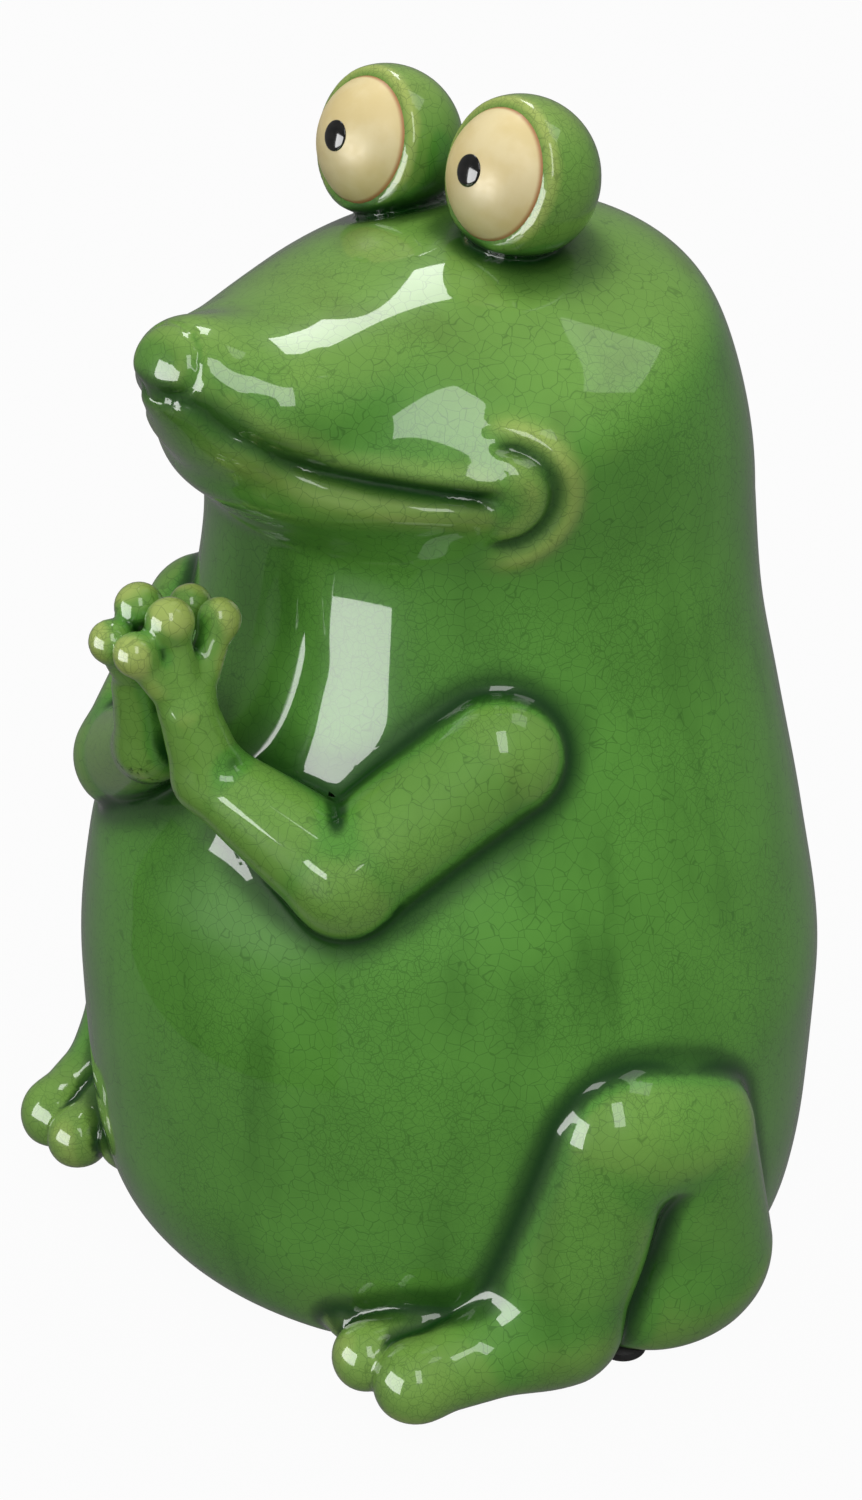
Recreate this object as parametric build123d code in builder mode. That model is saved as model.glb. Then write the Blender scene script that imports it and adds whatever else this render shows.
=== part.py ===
from math import asin, cos, radians, sin
import os

from build123d import *

# Glazed ceramic frog that sits upright with its hands together, in millimetres.
# The frog faces -Y, its left side is +X, and the table is at Z = 0.

# Stick-on rubber pads under the foot rim and the legs
pad_height = 2.0
pad_diameter = 10.0
front_pad_inset = 7.5
rear_pad_inset = 13.5
side_pad_turn, side_pad_sink = 73.9, -1.5

# Slip-cast wall and the pour hole that lets the firing gas out
wall = 5.0
pour_hole_diameter = 16.0

# Seam of fired slip between the body and what is luted on to it
slip_seam = 0.05

# Torso sections from the belly up: rise above the section below, reach in front
# of the middle, reach behind it, half width
belly_rise, belly_front, belly_back, belly_half_width = 30.0, 76.0, 81.5, 79.0
waist_rise, waist_front, waist_back, waist_half_width = 32.0, 69.5, 77.5, 73.0
chest_rise, chest_front, chest_back, chest_half_width = 28.0, 56.5, 71.5, 64.0
shoulder_rise, shoulder_front, shoulder_back, shoulder_half_width = 22.0, 49.0, 67.0, 57.5

# The base rounds in under the belly: rise, tuck in front, tuck behind, tuck at the sides
rim_front_tuck, rim_back_tuck, rim_side_tuck = 8.5, 9.0, 4.0
foot_rise, foot_front_tuck, foot_back_tuck, foot_side_tuck = 7.0, 4.0, 4.0, 2.0
hip_rise, hip_front_tuck, hip_back_tuck, hip_side_tuck = 19.0, 0.5, 1.0, 0.2

# Each section is a smooth oval through points this many degrees apart
oval_step = 30

# Head sections fan out from a point in front of the throat:
# tilt in degrees, nearest and furthest reach from that point, half width
throat_rise = 20.0
throat_gap = 31.5
neck_near, neck_far, neck_half_width = 34.5, 145.4, 55.0
nape_tilt, nape_near, nape_far, nape_half_width = 10.0, 32.5, 141.3, 55.8
crown_tilt, crown_near, crown_far, crown_half_width = 20.0, 29.0, 136.0, 55.2
brow_tilt, brow_near, brow_far, brow_half_width = 29.0, 27.5, 112.5, 41.0
cheek_tilt, cheek_near, cheek_far, cheek_half_width = 37.0, 28.0, 87.5, 29.8
muzzle_tilt, muzzle_near, muzzle_far, muzzle_half_width = 45.0, 28.5, 65.4, 24.6
lip_tilt, lip_near, lip_far, lip_half_width = 53.0, 30.5, 55.6, 20.8
snout_tilt, snout_near, snout_far, snout_half_width = 60.0, 34.0, 49.7, 14.6
nose_tilt, nose_near, nose_far, nose_half_width = 63.5, 36.2, 48.2, 10.5
tip_tilt, tip_near, tip_far, tip_half_width = 67.6, 39.2, 45.4, 5.4

# Mouth groove from the nose back to the corner: reach behind the throat point, and above it
mouth_width = 2.4
mouth_depth = 3.0
mouth_line = [(8.5, 38.5), (19.0, 29.8), (31.0, 21.6), (52.5, 17.5)]

# Eyes: a pale ball in a glazed hood, with an enamel pupil
eye_spacing = 36.4
eye_tilt, eye_lift = 37.55, 17.3
eyeball_radius = 13.4
hood_thickness = 1.4
hood_opening_angle = 64.0
gaze_tilt = 15.0
pupil_diameter = 5.8
pupil_thickness = 0.4

# Arms: the shoulder and elbow lie round the body, by their rise above the chest or waist,
# turn from the front, depth under the skin and radius; the wrist stands off the chest
arm_shoulder_rise, arm_shoulder_turn, arm_shoulder_sink, arm_shoulder_radius = 8.0, 52.3, 6.6, 13.2
arm_elbow_rise, arm_elbow_turn, arm_elbow_sink, arm_elbow_radius = 16.6, 29.3, -0.7, 11.5
wrist_spacing = 18.0
wrist_rise = 4.5
wrist_stand_off = 9.5
wrist_radius = 7.0

# Hands: a palm and three fingers with round tips, measured from the wrist
palm_reach = (-1.8, -3.0, 13.5)
palm_end_radius = 5.5
finger_root_radius = 3.8
finger_radius = 3.0
finger_reaches = [(-5.3, -11.4, 26.5), (-4.4, -4.2, 31.0), (-4.7, 7.1, 28.1)]
fingertip_radii = [4.2, 4.6, 4.1]
hand_gap = 0.4

# Legs, folded beside the belly: height, turn, depth under the skin and radius
thigh_top_height, thigh_top_turn, thigh_top_sink, thigh_top_radius = 47.2, 83.2, 6.0, 17.5
thigh_seat_height, thigh_seat_turn, thigh_seat_sink, thigh_seat_radius = 15.5, 88.6, 7.5, 20.2
haunch_height, haunch_turn, haunch_sink, haunch_radius = 12.0, 80.5, 6.0, 16.0
shin_top_height, shin_top_turn, shin_top_sink, shin_top_radius = 53.8, 72.3, 5.0, 16.0
shin_ankle_height, shin_ankle_turn, shin_ankle_sink, shin_ankle_radius = 14.7, 62.1, 4.0, 16.2

# Feet: three toes that run out from the heel and the instep, placed in the same way
heel_height, heel_turn, heel_sink, heel_radius = 11.0, 62.9, 0.3, 11.5
instep_height, instep_turn, instep_sink, instep_radius = 12.5, 50.0, 6.2, 8.0
outer_toe_height, outer_toe_turn, outer_toe_sink, outer_toe_radius = 8.4, 42.4, -12.6, 8.2
middle_toe_height, middle_toe_turn, middle_toe_sink, middle_toe_radius = 9.0, 35.4, -7.2, 6.8
inner_toe_height, inner_toe_turn, inner_toe_sink, inner_toe_radius = 10.3, 31.6, 3.4, 5.9

# Base sections under the belly, and the heights of all sections above the table
rim_front, rim_back = belly_front - rim_front_tuck, belly_back - rim_back_tuck
foot_front, foot_back = belly_front - foot_front_tuck, belly_back - foot_back_tuck
hip_front, hip_back = belly_front - hip_front_tuck, belly_back - hip_back_tuck
rim_half_width = belly_half_width - rim_side_tuck
foot_half_width = belly_half_width - foot_side_tuck
hip_half_width = belly_half_width - hip_side_tuck
foot_height = pad_height + foot_rise
hip_height = foot_height + hip_rise
belly_height = hip_height + belly_rise
waist_height = belly_height + waist_rise
chest_height = waist_height + chest_rise
shoulder_height = chest_height + shoulder_rise
throat_point_y = -shoulder_front - throat_gap
throat_point_height = shoulder_height + throat_rise
torso = [
    (pad_height, rim_front, rim_back, rim_half_width),
    (foot_height, foot_front, foot_back, foot_half_width),
    (hip_height, hip_front, hip_back, hip_half_width),
    (belly_height, belly_front, belly_back, belly_half_width),
    (waist_height, waist_front, waist_back, waist_half_width),
    (chest_height, chest_front, chest_back, chest_half_width),
    (shoulder_height, shoulder_front, shoulder_back, shoulder_half_width),
]
head = [
    (0, neck_near, neck_far, neck_half_width),
    (nape_tilt, nape_near, nape_far, nape_half_width),
    (crown_tilt, crown_near, crown_far, crown_half_width),
    (brow_tilt, brow_near, brow_far, brow_half_width),
    (cheek_tilt, cheek_near, cheek_far, cheek_half_width),
    (muzzle_tilt, muzzle_near, muzzle_far, muzzle_half_width),
    (lip_tilt, lip_near, lip_far, lip_half_width),
    (snout_tilt, snout_near, snout_far, snout_half_width),
    (nose_tilt, nose_near, nose_far, nose_half_width),
    (tip_tilt, tip_near, tip_far, tip_half_width),
]


def oval(half_width, half_depth):
    # Points round an ellipse, from the back round the frog's left side
    turns = [radians(turn) for turn in range(0, 360, oval_step)]
    return [(half_width * sin(turn), half_depth * cos(turn)) for turn in turns]


def torso_section(height, front, back, half_width, inset):
    plane = Plane(origin=(0, (back - front) / 2, height), x_dir=(1, 0, 0), z_dir=(0, 0, 1))
    return plane, half_width - inset, (back + front) / 2 - inset


def fan_point(tilt, reach):
    up, along = sin(radians(tilt)), cos(radians(tilt))
    return Vector(0, throat_point_y + reach * along, throat_point_height + reach * up)


def head_section(tilt, near, far, half_width, inset):
    up, along = sin(radians(tilt)), cos(radians(tilt))
    plane = Plane(origin=fan_point(tilt, (near + far) / 2), x_dir=(1, 0, 0), z_dir=(0, -up, along))
    return plane, half_width - inset, (far - near) / 2 - inset


def body_form(inset, floor_lift, last_tilt):
    # The floor lift raises the base sections, for the thick floor of the casting
    rows = [(height + floor_lift if height <= foot_height else height, *sizes) for height, *sizes in torso]
    sections = [torso_section(*row, inset) for row in rows]
    sections += [head_section(*row, inset) for row in head if row[0] <= last_tilt]
    with BuildPart() as form:
        for plane, half_width, half_depth in sections:
            with BuildSketch(plane):
                with BuildLine():
                    Spline(*oval(half_width, half_depth), periodic=True)
                make_face()
        loft()
    return form.part


def skin_point(height, turn, sink):
    # A point on the torso, by its height, turn from the front and depth under the skin
    for lower, upper in zip(torso, torso[1:]):
        if height <= upper[0]:
            break
    share = (height - lower[0]) / (upper[0] - lower[0])
    front, back, half_width = [a + (b - a) * share for a, b in zip(lower[1:], upper[1:])]
    x = (half_width - sink) * sin(radians(turn))
    y = (back - front) / 2 - ((back + front) / 2 - sink) * cos(radians(turn))
    return Vector(x, y, height)


def limb(start, end, start_radius, end_radius):
    # Two balls joined by the cone that touches both, with its seam line facing outwards
    length = (end - start).length
    lean = asin((start_radius - end_radius) / length)
    along = (end - start).normalized()
    outward = Vector(start.X + end.X, start.Y + end.Y, 0)
    side = along.cross(outward).normalized()
    plane = Plane(origin=start, x_dir=along, z_dir=side)
    half = (radians(90) + lean) / 2
    rest = (radians(90) - lean) / 2
    with BuildPart() as made:
        with BuildSketch(plane):
            with BuildLine():
                first = ThreePointArc(
                    (-start_radius, 0),
                    (-start_radius * sin(half), start_radius * cos(half)),
                    (start_radius * sin(lean), start_radius * cos(lean)),
                )
                second = Line(first @ 1, (length + end_radius * sin(lean), end_radius * cos(lean)))
                third = ThreePointArc(
                    second @ 1,
                    (length + end_radius * cos(rest), end_radius * sin(rest)),
                    (length + end_radius, 0),
                )
                Line(third @ 1, first @ 0)
            make_face()
        revolve(axis=Axis(start, along))
    return made.part


def ball(centre, radius):
    with BuildPart() as made:
        with Locations(centre):
            Sphere(radius)
    return made.part


os.makedirs("parts", exist_ok=True)

# The outside of the casting, and the seats it leaves for what is luted on to it
outside = body_form(0, 0, tip_tilt)
head_seat = body_form(-slip_seam, 0, tip_tilt)
torso_seat = body_form(-slip_seam, 0, crown_tilt)
cavity = body_form(wall, wall, brow_tilt)
face_core = body_form(mouth_depth, 0, nose_tilt)

# Everything under the foot rim
table_width = 4 * belly_half_width
with BuildPart() as below_rim:
    with Locations((0, 0, pad_height)):
        Box(table_width, table_width, belly_height, align=(Align.CENTER, Align.CENTER, Align.MAX))

# Mouth groove: a thin bent slab, kept to the skin of the face
mouth_points = [(throat_point_y + back, throat_point_height + up) for back, up in mouth_line]
with BuildPart() as mouth:
    with BuildSketch(Plane.YZ):
        with BuildLine():
            upper_lip = Spline(*[(y, height + mouth_width / 2) for y, height in mouth_points])
            lower_lip = Spline(*[(y, height - mouth_width / 2) for y, height in mouth_points])
            Line(upper_lip @ 0, lower_lip @ 0)
            Line(upper_lip @ 1, lower_lip @ 1)
        make_face()
    extrude(amount=belly_half_width, both=True)
    add(face_core, mode=Mode.SUBTRACT)

# Body and head: one hollow casting with a flat rim and a pour hole
with BuildPart() as body_shell:
    add(outside)
    add(cavity, mode=Mode.SUBTRACT)
    add(mouth.part, mode=Mode.SUBTRACT)
    with Locations((0, 0, pad_height)):
        Cylinder(pour_hole_diameter / 2, 2 * wall, mode=Mode.SUBTRACT)

# Eyes
eye_centre = fan_point(eye_tilt, cheek_far + eye_lift) + Vector(eye_spacing / 2, 0, 0)
gaze = Vector(0, -cos(radians(gaze_tilt)), sin(radians(gaze_tilt)))
gaze_axis = Axis(eye_centre, gaze)
gaze_plane = Plane(origin=eye_centre, x_dir=gaze, z_dir=(1, 0, 0))
hood_radius = eyeball_radius + hood_thickness
opening = radians(hood_opening_angle)
hood_middle = radians(hood_opening_angle + 180) / 2
eyeball = ball(eye_centre, eyeball_radius)
pupil_ball = ball(eye_centre, eyeball_radius + pupil_thickness)

with BuildPart() as left_eyeball:
    add(eyeball)
    add(head_seat, mode=Mode.SUBTRACT)

with BuildPart() as left_eyelid:
    with BuildSketch(gaze_plane):
        with BuildLine():
            outer = ThreePointArc(
                (hood_radius * cos(opening), hood_radius * sin(opening)),
                (hood_radius * cos(hood_middle), hood_radius * sin(hood_middle)),
                (-hood_radius, 0),
            )
            inner = ThreePointArc(
                (eyeball_radius * cos(opening), eyeball_radius * sin(opening)),
                (eyeball_radius * cos(hood_middle), eyeball_radius * sin(hood_middle)),
                (-eyeball_radius, 0),
            )
            Line(outer @ 0, inner @ 0)
            Line(outer @ 1, inner @ 1)
        make_face()
    revolve(axis=gaze_axis)
    add(head_seat, mode=Mode.SUBTRACT)

with BuildPart() as left_pupil:
    with BuildSketch(Plane(origin=eye_centre, z_dir=gaze)):
        Circle(pupil_diameter / 2)
    extrude(amount=hood_radius)
    add(pupil_ball, mode=Mode.INTERSECT)
    add(eyeball, mode=Mode.SUBTRACT)

# Arms, bent at the elbow and luted to the chest
arm_shoulder = skin_point(chest_height + arm_shoulder_rise, arm_shoulder_turn, arm_shoulder_sink)
arm_elbow = skin_point(waist_height + arm_elbow_rise, arm_elbow_turn, arm_elbow_sink)
wrist = Vector(wrist_spacing / 2, -chest_front - wrist_stand_off, chest_height + wrist_rise)
upper_arm = limb(arm_shoulder, arm_elbow, arm_shoulder_radius, arm_elbow_radius)
forearm = limb(arm_elbow, wrist, arm_elbow_radius, wrist_radius)
with BuildPart() as left_arm:
    add([upper_arm, forearm])
    add(torso_seat, mode=Mode.SUBTRACT)

# Hands, held together fingertip to fingertip
palm_end = wrist + Vector(*palm_reach)
finger_tips = [wrist + Vector(*reach) for reach in finger_reaches]
palm = limb(wrist, palm_end, wrist_radius, palm_end_radius)
fingers = [limb(palm_end, tip, finger_root_radius, finger_radius) for tip in finger_tips]
fingertips = [ball(tip, radius) for tip, radius in zip(finger_tips, fingertip_radii)]
with BuildPart() as left_hand:
    add([palm, *fingers, *fingertips])
    add(left_arm.part, mode=Mode.SUBTRACT)
    split(bisect_by=Plane.YZ.offset(hand_gap / 2), keep=Keep.TOP)

# Legs: the folded thigh and its haunch behind, and the shin in front
thigh_top = skin_point(thigh_top_height, thigh_top_turn, thigh_top_sink)
thigh_seat = skin_point(thigh_seat_height, thigh_seat_turn, thigh_seat_sink)
haunch_front = skin_point(haunch_height, haunch_turn, haunch_sink)
shin_top = skin_point(shin_top_height, shin_top_turn, shin_top_sink)
shin_ankle = skin_point(shin_ankle_height, shin_ankle_turn, shin_ankle_sink)
thigh = limb(thigh_top, thigh_seat, thigh_top_radius, thigh_seat_radius)
haunch = limb(thigh_seat, haunch_front, thigh_seat_radius, haunch_radius)
shin = limb(shin_top, shin_ankle, shin_top_radius, shin_ankle_radius)
with BuildPart() as left_leg:
    add([thigh, haunch, shin])
    add(below_rim.part, mode=Mode.SUBTRACT)
    add(torso_seat, mode=Mode.SUBTRACT)

# Feet
heel = skin_point(heel_height, heel_turn, heel_sink)
instep = skin_point(instep_height, instep_turn, instep_sink)
outer_tip = skin_point(outer_toe_height, outer_toe_turn, outer_toe_sink)
middle_tip = skin_point(middle_toe_height, middle_toe_turn, middle_toe_sink)
inner_tip = skin_point(inner_toe_height, inner_toe_turn, inner_toe_sink)
outer_toe = limb(heel, outer_tip, heel_radius, outer_toe_radius)
middle_toe = limb(instep, middle_tip, instep_radius, middle_toe_radius)
inner_toe = limb(instep, inner_tip, instep_radius, inner_toe_radius)
with BuildPart() as left_foot:
    add([outer_toe, middle_toe, inner_toe])
    add(below_rim.part, mode=Mode.SUBTRACT)
    add(left_leg.part, mode=Mode.SUBTRACT)
    add(torso_seat, mode=Mode.SUBTRACT)

body_shell.part.label = "body_shell"
export_step(body_shell.part, "parts/body_shell.step")

paired = {
    "eyeball": left_eyeball,
    "eyelid": left_eyelid,
    "pupil": left_pupil,
    "arm": left_arm,
    "hand": left_hand,
    "leg": left_leg,
    "foot": left_foot,
}
for name, left in paired.items():
    left.part.label = f"left_{name}"
    export_step(left.part, f"parts/left_{name}.step")
    with BuildPart() as right:
        mirror(left.part, about=Plane.YZ)
    right.part.label = f"right_{name}"
    export_step(right.part, f"parts/right_{name}.step")

# Rubber pads, stuck on by hand
side_pad = skin_point(pad_height, side_pad_turn, side_pad_sink)
pad_places = {
    "front_pad": (0, -rim_front + front_pad_inset),
    "rear_pad": (0, rim_back - rear_pad_inset),
    "left_pad": (side_pad.X, side_pad.Y),
    "right_pad": (-side_pad.X, side_pad.Y),
}
for name, place in pad_places.items():
    with BuildPart() as pad:
        with BuildSketch():
            with Locations(place):
                Circle(pad_diameter / 2)
        extrude(amount=pad_height)
    pad.part.label = name
    export_step(pad.part, f"parts/{name}.step")
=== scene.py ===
import math
from collections import Counter
import bpy
import mathutils
import numpy as np
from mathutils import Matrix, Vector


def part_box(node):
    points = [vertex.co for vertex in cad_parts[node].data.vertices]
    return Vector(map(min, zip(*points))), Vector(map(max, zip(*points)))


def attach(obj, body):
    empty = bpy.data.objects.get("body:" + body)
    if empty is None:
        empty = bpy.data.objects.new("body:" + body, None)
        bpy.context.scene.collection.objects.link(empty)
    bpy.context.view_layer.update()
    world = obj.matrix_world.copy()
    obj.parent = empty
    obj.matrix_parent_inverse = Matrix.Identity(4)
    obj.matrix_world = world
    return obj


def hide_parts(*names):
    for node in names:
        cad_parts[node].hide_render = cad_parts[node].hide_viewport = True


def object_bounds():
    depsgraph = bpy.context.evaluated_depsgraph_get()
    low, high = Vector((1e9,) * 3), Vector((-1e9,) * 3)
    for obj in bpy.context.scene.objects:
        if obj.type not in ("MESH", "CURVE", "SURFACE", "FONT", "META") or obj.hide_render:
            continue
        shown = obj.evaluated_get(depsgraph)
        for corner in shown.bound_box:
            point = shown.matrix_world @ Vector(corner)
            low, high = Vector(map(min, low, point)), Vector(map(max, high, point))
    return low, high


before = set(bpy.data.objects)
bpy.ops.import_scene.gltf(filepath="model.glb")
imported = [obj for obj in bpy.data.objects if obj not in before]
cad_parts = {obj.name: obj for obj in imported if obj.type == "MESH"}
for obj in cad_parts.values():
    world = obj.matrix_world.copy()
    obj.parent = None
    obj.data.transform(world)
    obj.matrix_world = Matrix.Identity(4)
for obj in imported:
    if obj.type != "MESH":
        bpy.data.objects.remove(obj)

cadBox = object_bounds()
mm = 0.001  # the shapes below are in millimetres, the meshes in metres
sides = {"left": 1, "right": -1}  # the frog faces -Y, its left side is +X


# Soft modelling with distance fields: a field is below zero inside the clay

def ballField(p, centre, radius):
    return np.linalg.norm(p - np.asarray(centre), axis=1) - radius


def limbField(p, start, end, startRadius, endRadius):
    start = np.asarray(start)
    axis = np.asarray(end) - start
    along = np.clip((p - start) @ axis / (axis @ axis), 0, 1)
    reach = np.linalg.norm(p - start - along[:, None] * axis, axis=1)
    return reach - (startRadius + (endRadius - startRadius) * along)


def softMin(a, b, radius):
    overlap = np.maximum(radius - np.abs(a - b), 0) / radius
    return np.minimum(a, b) - overlap * overlap * radius / 4


def softMax(a, b, radius):
    return -softMin(-a, -b, radius)


def hump(distance, width):
    return np.exp(-(distance / width) ** 2)


def smoothStep(low, high, value):
    t = np.clip((value - low) / (high - low), 0, 1)
    return t * t * (3 - 2 * t)


def smoothTable(stations, values, steps):
    # monotone cubic through the stations, so nothing bulges between them
    gap = np.diff(stations)
    slope = np.diff(values) / gap
    tangent = np.zeros(len(values))
    tangent[0], tangent[-1] = slope[0], slope[-1]
    for i in range(1, len(values) - 1):
        if slope[i - 1] * slope[i] > 0:
            w1, w2 = 2 * gap[i] + gap[i - 1], gap[i] + 2 * gap[i - 1]
            tangent[i] = (w1 + w2) / (w1 / slope[i - 1] + w2 / slope[i])
    i = np.clip(np.searchsorted(stations, steps) - 1, 0, len(gap) - 1)
    t = (steps - stations[i]) / gap[i]
    return ((1 + 2 * t) * (1 - t) ** 2 * values[i] + t * (1 - t) ** 2 * gap[i] * tangent[i]
            + t * t * (3 - 2 * t) * values[i + 1] + t * t * (t - 1) * gap[i] * tangent[i + 1])


# Body and head: ovals stacked up the torso, then fanned round the throat to the nose
bodyShape = {
    "throatPoint": (-80.5, 160.0),
    "fanLength": 60.0,  # how much stacking height one radian of the fan stands for
    "softening": 3.5,  # stacking height over which the stations melt into each other
    "steps": 900, "stepsAcross": 60,  # length of the table, and how far the softening looks each way
    "torso": [  # height, front, back, half width
        (2.0, 67.5, 72.5, 75.0), (9.0, 72.0, 77.5, 77.0), (28.0, 75.5, 80.5, 78.8),
        (58.0, 76.0, 81.5, 79.0), (90.0, 73.0, 77.5, 73.0), (118.0, 57.0, 71.5, 64.0),
        (140.0, 46.5, 67.0, 57.5)],
    "head": [  # tilt, near, far, half width
        (0.0, 36.5, 145.4, 55.0), (10.0, 33.5, 141.3, 55.8), (20.0, 29.0, 136.0, 55.2),
        (29.0, 27.5, 112.5, 41.0), (37.0, 28.0, 87.5, 29.8), (45.0, 28.5, 65.4, 24.6),
        (53.0, 30.5, 55.6, 20.8), (60.0, 34.0, 49.7, 14.6), (63.5, 36.2, 48.2, 10.5),
        (67.6, 39.2, 45.4, 5.4)],
    "nose": (0.0, -59.6, 197.0), "noseRadius": 6.4, "noseBlend": 13.0,
    "rimHeight": 2.0, "rimRounding": 3.0,
    "pourHole": 8.0, "pourDepth": 16.0, "pourRounding": 1.5,
}


def stackTable(shape):
    throatY, throatZ = shape["throatPoint"]
    rows = [(z, -front - throatY, back - throatY, half) for z, front, back, half in shape["torso"]]
    rows += [(throatZ + math.radians(tilt) * shape["fanLength"], near, far, half)
             for tilt, near, far, half in shape["head"]]
    rows = np.array(rows)
    steps = np.linspace(rows[0, 0], rows[-1, 0], shape["steps"])
    across = shape["stepsAcross"]
    spread = np.arange(-across, across + 1)
    weight = hump(spread * (steps[1] - steps[0]), shape["softening"])
    sizes = []
    for column in (1, 2, 3):
        size = smoothTable(rows[:, 0], rows[:, column], steps)
        longer = np.pad(size, across, mode="reflect", reflect_type="odd")
        sizes.append(np.convolve(longer, weight / weight.sum(), mode="valid"))
    return steps, sizes


stackSteps, stackSizes = stackTable(bodyShape)


def bodyRaw(p):
    throatY, throatZ = bodyShape["throatPoint"]
    back, up = p[:, 1] - throatY, p[:, 2] - throatZ
    reach = np.hypot(back, up)
    tilt = np.arctan2(up, np.maximum(back, 0.001))
    along = np.where(up > 0, throatZ + tilt * bodyShape["fanLength"], p[:, 2])
    across = np.where(up > 0, reach, back)
    near, far, half = [np.interp(along, stackSteps, size) for size in stackSizes]
    middle, depth = (near + far) / 2, (far - near) / 2
    u, v = p[:, 0] / half, (across - middle) / depth
    k = np.sqrt(u * u + v * v)
    steep = np.sqrt((u / half) ** 2 + (v / depth) ** 2)
    d = k * (k - 1) / np.maximum(steep, 0.000001)
    past = (along - stackSteps[-1]) * reach / bodyShape["fanLength"]
    return np.where(past > 0, np.hypot(np.maximum(d, 0), past), d)


def bodyField(p):
    # divided by its own slope, so it reads as a true distance near the surface
    d = bodyRaw(p)
    step = 0.4
    slope = sum(((bodyRaw(p + step * axis) - d) / step) ** 2 for axis in np.eye(3))
    d = d / np.clip(np.sqrt(slope), 0.4, 3)
    d = softMin(d, ballField(p, bodyShape["nose"], bodyShape["noseRadius"]), bodyShape["noseBlend"])
    return softMax(d, bodyShape["rimHeight"] - p[:, 2], bodyShape["rimRounding"])


# Smile: a groove between two lips, ending in a dimple with a raised cheek round it
smileShape = {
    "line": [(-76.0, 199.0), (-67.0, 195.2), (-64.2, 193.0), (-60.3, 188.6), (-54.7, 184.5), (-48.4, 181.2),
             (-43.4, 179.8), (-38.2, 178.9), (-33.6, 178.3), (-26.0, 177.0)],  # side view, y and height
    "frontDepth": 0.9, "cornerDepth": 2.6, "grooveWidth": 1.6, "deepens": (-64.0, -40.0),
    "upperLipHeight": 0.35, "upperLipWidth": 1.8, "upperLipGap": 3.3,
    "lowerLipHeight": 0.5, "lowerLipWidth": 2.6, "lowerLipGap": 4.0, "lipsStart": (-66.0, -58.0),
    "corner": (47.0, -28.6, 176.6), "cornerFade": 2.0,
    "lobeRadius": 6.0, "lobeHeight": 0.3, "lobeWidth": 2.6,
    "dimpleRadius": 10.2, "dimpleDepth": 1.3, "dimpleWidth": 1.6,
    "cheekRadius": 13.4, "cheekHeight": 0.7, "cheekWidth": 2.2,
    "crescentTurn": (0.0, 0.45),
    "near": (2.0, 155.0, 215.0),  # back end, lowest and highest point of the smile
}
smileGlaze = {
    # dark, darker and dimple paint shade into the mouth groove and the dimple, over the glaze pooled there
    "spread": 1.5, "dark": 0.7, "darker": 0.3, "dimple": 0.75,
    "upperLip": 0.16, "lowerLip": 0.26, "cheek": 0.4, "lobe": 0.22,
}


def smileMarks(q):
    # how far the skin moves in (positive) or out, how dark the glaze pools, with painted shade in the groove and
    # dimple, and how thin it runs
    relief, poolAndShade, thin = np.zeros((3, len(q)))
    s = smileShape
    back, bottom, top = s["near"]
    near = (q[:, 1] < back) & (q[:, 2] > bottom) & (q[:, 2] < top)
    p = q[near]
    if len(p) == 0:
        return relief, poolAndShade, thin
    line = np.array(s["line"])
    best = np.full(len(p), 1e9)
    signed = np.zeros(len(p))
    for a, b in zip(line[:-1], line[1:]):
        axis = b - a
        t = np.clip((p[:, 1:] - a) @ axis / (axis @ axis), 0, 1)
        off = p[:, 1:] - a - t[:, None] * axis
        reach = np.hypot(off[:, 0], off[:, 1])
        closer = reach < best
        best = np.where(closer, reach, best)
        signed = np.where(closer, np.sign(axis[0] * off[:, 1] - axis[1] * off[:, 0]) * reach, signed)
    corner = np.array(s["corner"])
    fade = 1 - smoothStep(corner[1] - s["cornerFade"], corner[1] + s["cornerFade"], p[:, 1])
    deep = smoothStep(*s["deepens"], p[:, 1])
    lips = fade * smoothStep(*s["lipsStart"], p[:, 1])
    groove = hump(signed, s["grooveWidth"]) * fade
    upperLip = hump(signed - s["upperLipGap"], s["upperLipWidth"]) * lips
    lowerLip = hump(signed + s["lowerLipGap"], s["lowerLipWidth"]) * lips
    fromCorner = np.linalg.norm(p - corner, axis=1)
    behind = (p[:, 1] - corner[1]) / np.maximum(np.hypot(p[:, 1] - corner[1], p[:, 2] - corner[2]), 0.1)
    crescent = smoothStep(*s["crescentTurn"], behind)
    dimple = hump(fromCorner - s["dimpleRadius"], s["dimpleWidth"]) * crescent
    cheek = hump(fromCorner - s["cheekRadius"], s["cheekWidth"]) * crescent
    lobe = hump(fromCorner - s["lobeRadius"], s["lobeWidth"]) * crescent
    depth = s["frontDepth"] + (s["cornerDepth"] - s["frontDepth"]) * deep
    relief[near] = (depth * groove + s["dimpleDepth"] * dimple - s["upperLipHeight"] * upperLip
                    - s["lowerLipHeight"] * lowerLip - s["cheekHeight"] * cheek - s["lobeHeight"] * lobe)
    g = smileGlaze
    # painted shade: the mouth groove and the dimple are darkened, along with the glaze pooled there
    dark = hump(signed, s["grooveWidth"] * g["spread"]) * fade
    poolAndShade[near] = np.maximum(dark * (g["dark"] + g["darker"] * deep), g["dimple"] * dimple)
    thin[near] = (g["upperLip"] * upperLip + g["lowerLip"] * lowerLip + g["cheek"] * cheek
                  + g["lobe"] * lobe)
    return relief, poolAndShade, thin


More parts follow.
